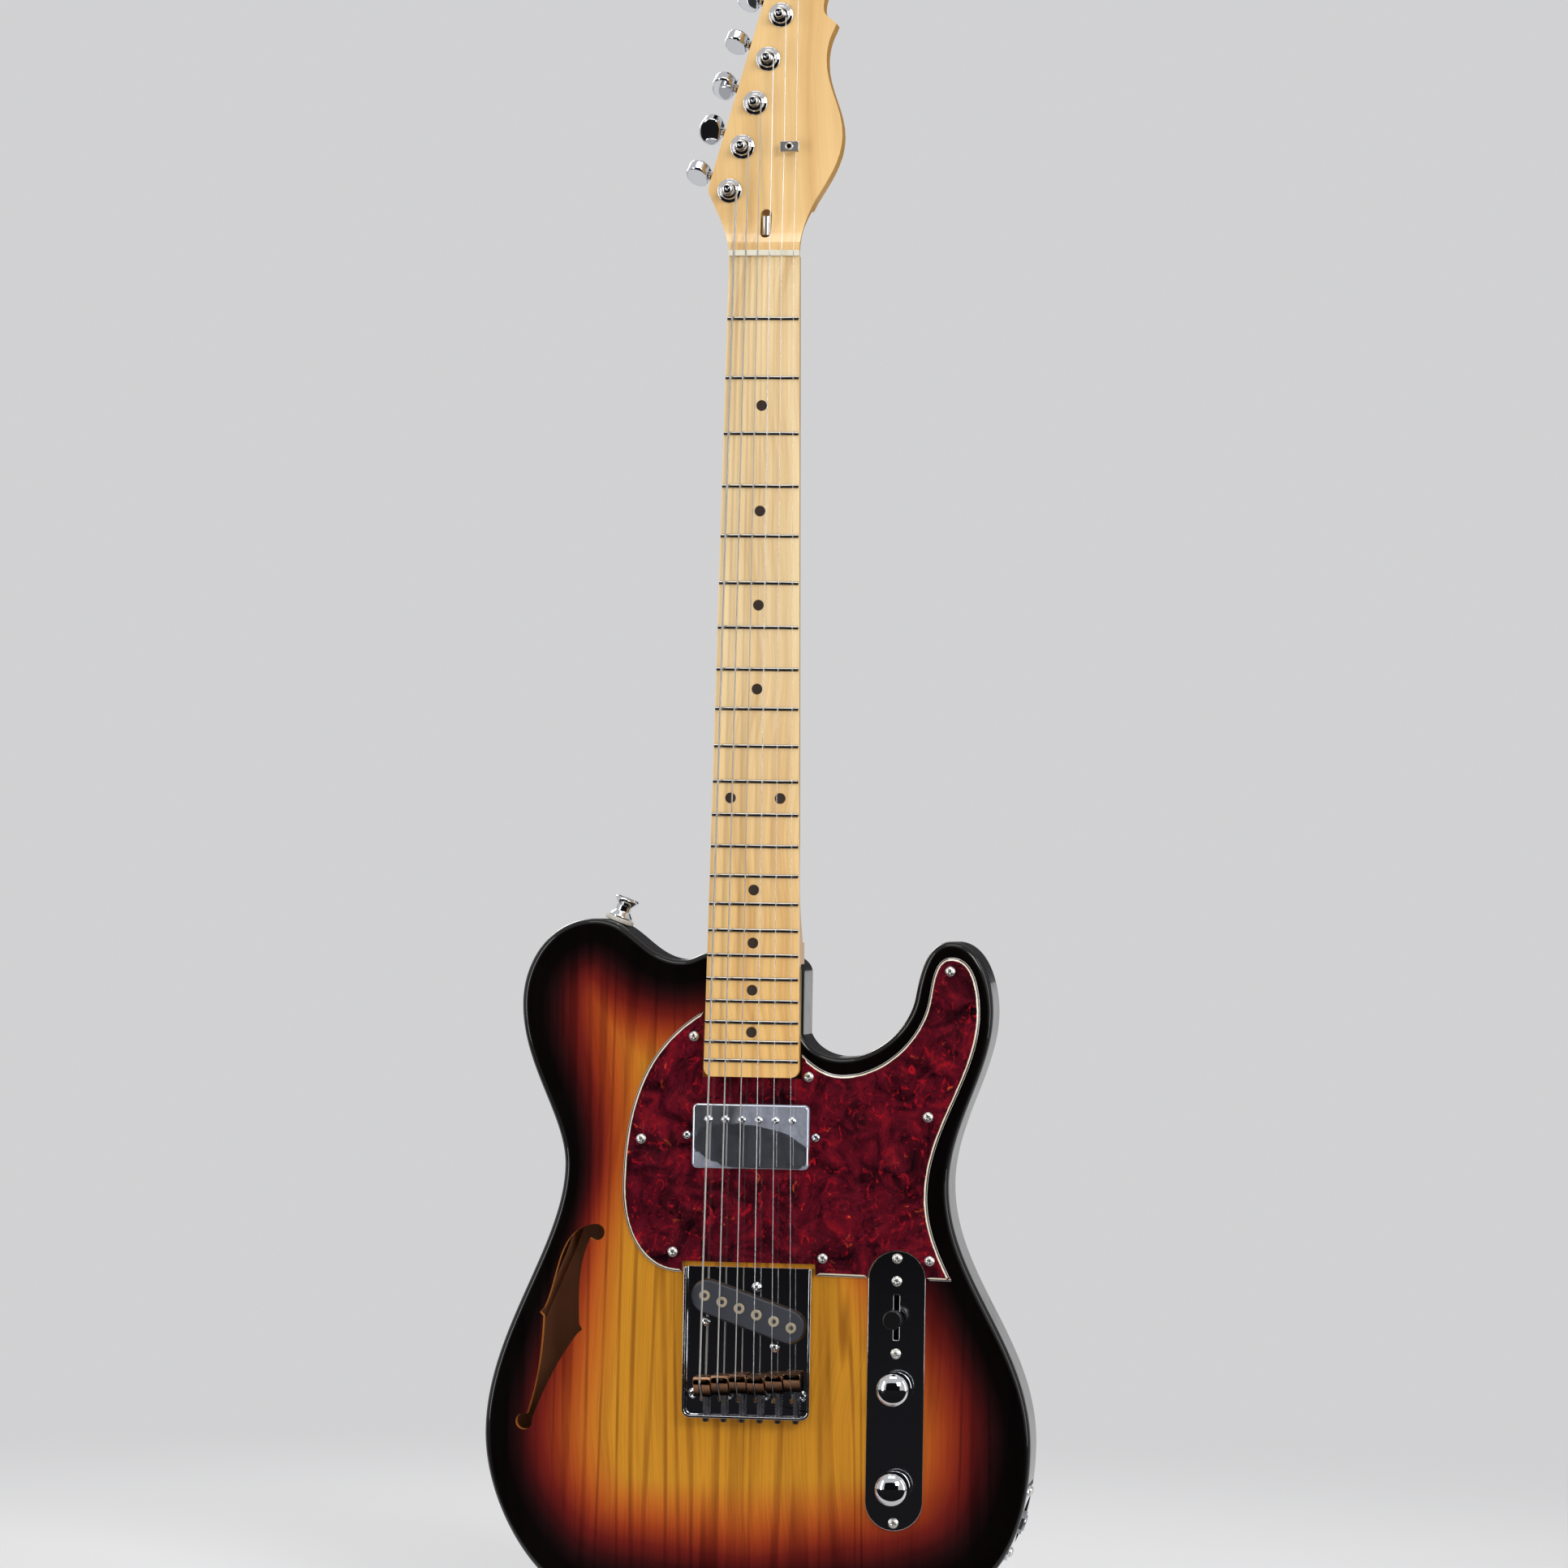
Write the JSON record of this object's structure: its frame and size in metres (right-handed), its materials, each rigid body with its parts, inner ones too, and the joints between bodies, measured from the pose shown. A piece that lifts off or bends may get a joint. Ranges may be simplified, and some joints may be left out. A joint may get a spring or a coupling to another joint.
{
  "type": "electric guitar",
  "caption": "Semi-hollow single-cutaway electric guitar with a bolt-on maple neck, geared tuners, pickups, turning knobs, a blade selector and a side jack socket.",
  "frame": {"origin": "centre of the nut's board-side edge at the playing surface, where a wall hanger's yoke grips the neck", "axes": "+Z along the neck towards the headstock, +X towards the treble side, +Y from the front to the back"},
  "size_m": [0.3196, 0.0724, 0.9902],
  "materials": {
    "dark_lacquer": "black gloss lacquer over the back and sides",
    "sunburst": "gloss three-tone sunburst over straight ash grain",
    "maple": "satin amber maple",
    "board_maple": "satin pale maple",
    "fret_silver": "polished nickel silver",
    "bone": "polished bone",
    "black_plastic": "black plastic",
    "steel": "plain steel",
    "chrome": "mirror chrome",
    "string_steel": "wound and plain string wire",
    "tortoise": "red tortoise sheet with a pale bevelled edge",
    "pickup_silver": "satin silver cover",
    "silver_base": "nickel silver base",
    "coil_copper": "enamelled copper winding",
    "magnet": "cast magnet alloy",
    "sleeve_rubber": "soft black rubber",
    "saddle_brass": "worn brass",
    "felt": "white felt",
    "wire_cloth": "cloth covered wire",
    "capacitor_film": "dipped film capacitor"
  },
  "bodies": {
    "guitar": {"body_core": "dark_lacquer", "body_top": "sunburst", "neck": "maple", "fingerboard": "board_maple", "frets": "fret_silver", "nut": "bone", "position_dots": "black_plastic", "truss_rod": "steel", "neck_plate": "chrome", "neck_bolts": "chrome", "string_tree": "chrome", "head_screws": "chrome", "tuner_housings": "chrome", "tuner_bushings": "chrome", "strings": "string_steel", "string_ferrules": "chrome", "pickguard": "tortoise", "plate_screws": "chrome", "neck_pickup_cover": "pickup_silver", "neck_pickup_base": "silver_base", "neck_pickup_coils": "coil_copper", "pickup_magnets": "magnet", "neck_pickup_poles": "steel", "pickup_screws": "chrome", "pickup_sleeves": "sleeve_rubber", "bridge_plate": "chrome", "bridge_screws": "chrome", "saddles": "saddle_brass", "saddle_height_screws": "steel", "intonation_screws": "steel", "intonation_springs": "steel", "bridge_pickup_cover": "black_plastic", "bridge_pickup_coil": "coil_copper", "bridge_pickup_poles": "steel", "control_plate": "chrome", "potentiometers": "steel", "selector_switch": "steel", "jack_plate": "chrome", "jack_socket": "steel", "strap_buttons": "chrome", "strap_washers": "felt", "strap_screws": "chrome", "wiring": "wire_cloth", "tone_capacitor": "capacitor_film"},
    "tuner_key_1": {"tuner_key_1": "chrome"},
    "tuner_post_1": {"tuner_post_1": "chrome"},
    "tuner_key_2": {"tuner_key_2": "chrome"},
    "tuner_post_2": {"tuner_post_2": "chrome"},
    "tuner_key_3": {"tuner_key_3": "chrome"},
    "tuner_post_3": {"tuner_post_3": "chrome"},
    "tuner_key_4": {"tuner_key_4": "chrome"},
    "tuner_post_4": {"tuner_post_4": "chrome"},
    "tuner_key_5": {"tuner_key_5": "chrome"},
    "tuner_post_5": {"tuner_post_5": "chrome"},
    "tuner_key_6": {"tuner_key_6": "chrome"},
    "tuner_post_6": {"tuner_post_6": "chrome"},
    "volume_knob": {"volume_knob": "chrome"},
    "tone_knob": {"tone_knob": "chrome"},
    "selector": {"switch_lever": "steel", "switch_tip": "black_plastic"}
  },
  "joints": [
    {"name": "tuner_key_1_turn", "type": "hinge", "parent": "guitar", "child": "tuner_key_1", "pos_m": [-0.01992, 0.0265, 0.04544], "axis": [0.9632, 0, -0.2689], "continuous": true},
    {"name": "tuner_post_1_turn", "type": "hinge", "parent": "guitar", "child": "tuner_post_1", "pos_m": [-0.0218, 0, 0.0387], "axis": [0, 1, 0], "continuous": true},
    {"name": "tuner_key_2_turn", "type": "hinge", "parent": "guitar", "child": "tuner_key_2", "pos_m": [-0.01276, 0.0265, 0.07106], "axis": [0.9632, 0, -0.2689], "continuous": true},
    {"name": "tuner_post_2_turn", "type": "hinge", "parent": "guitar", "child": "tuner_post_2", "pos_m": [-0.01465, 0, 0.06432], "axis": [0, 1, 0], "continuous": true},
    {"name": "tuner_key_3_turn", "type": "hinge", "parent": "guitar", "child": "tuner_key_3", "pos_m": [-0.00561, 0.0265, 0.09668], "axis": [0.9632, 0, -0.2689], "continuous": true},
    {"name": "tuner_post_3_turn", "type": "hinge", "parent": "guitar", "child": "tuner_post_3", "pos_m": [-0.00749, 0, 0.08994], "axis": [0, 1, 0], "continuous": true},
    {"name": "tuner_key_4_turn", "type": "hinge", "parent": "guitar", "child": "tuner_key_4", "pos_m": [0.00154, 0.0265, 0.1223], "axis": [0.9632, 0, -0.2689], "continuous": true},
    {"name": "tuner_post_4_turn", "type": "hinge", "parent": "guitar", "child": "tuner_post_4", "pos_m": [-0.00034, 0, 0.11556], "axis": [0, 1, 0], "continuous": true},
    {"name": "tuner_key_5_turn", "type": "hinge", "parent": "guitar", "child": "tuner_key_5", "pos_m": [0.0087, 0.0265, 0.14792], "axis": [0.9632, 0, -0.2689], "continuous": true},
    {"name": "tuner_post_5_turn", "type": "hinge", "parent": "guitar", "child": "tuner_post_5", "pos_m": [0.00681, 0, 0.14118], "axis": [0, 1, 0], "continuous": true},
    {"name": "tuner_key_6_turn", "type": "hinge", "parent": "guitar", "child": "tuner_key_6", "pos_m": [0.01585, 0.0265, 0.17354], "axis": [0.9632, 0, -0.2689], "continuous": true},
    {"name": "tuner_post_6_turn", "type": "hinge", "parent": "guitar", "child": "tuner_post_6", "pos_m": [0.01397, 0, 0.1668], "axis": [0, 1, 0], "continuous": true},
    {"name": "volume_turn", "type": "hinge", "parent": "guitar", "child": "volume_knob", "pos_m": [0.086, 0, -0.6528], "axis": [0, 1, 0], "range_deg": [-300, 0]},
    {"name": "tone_turn", "type": "hinge", "parent": "guitar", "child": "tone_knob", "pos_m": [0.086, 0, -0.7098], "axis": [0, 1, 0], "range_deg": [-300, 0]},
    {"name": "selector_swing", "type": "hinge", "parent": "guitar", "child": "selector", "pos_m": [0.086, 0.023, -0.6123], "axis": [1, 0, 0], "range_deg": [-24, 24]}
  ],
  "couplings": [
    {"joint": "tuner_post_1_turn", "follows": "tuner_key_1_turn", "ratio": 0.055556},
    {"joint": "tuner_post_2_turn", "follows": "tuner_key_2_turn", "ratio": 0.055556},
    {"joint": "tuner_post_3_turn", "follows": "tuner_key_3_turn", "ratio": 0.055556},
    {"joint": "tuner_post_4_turn", "follows": "tuner_key_4_turn", "ratio": 0.055556},
    {"joint": "tuner_post_5_turn", "follows": "tuner_key_5_turn", "ratio": 0.055556},
    {"joint": "tuner_post_6_turn", "follows": "tuner_key_6_turn", "ratio": 0.055556}
  ]
}
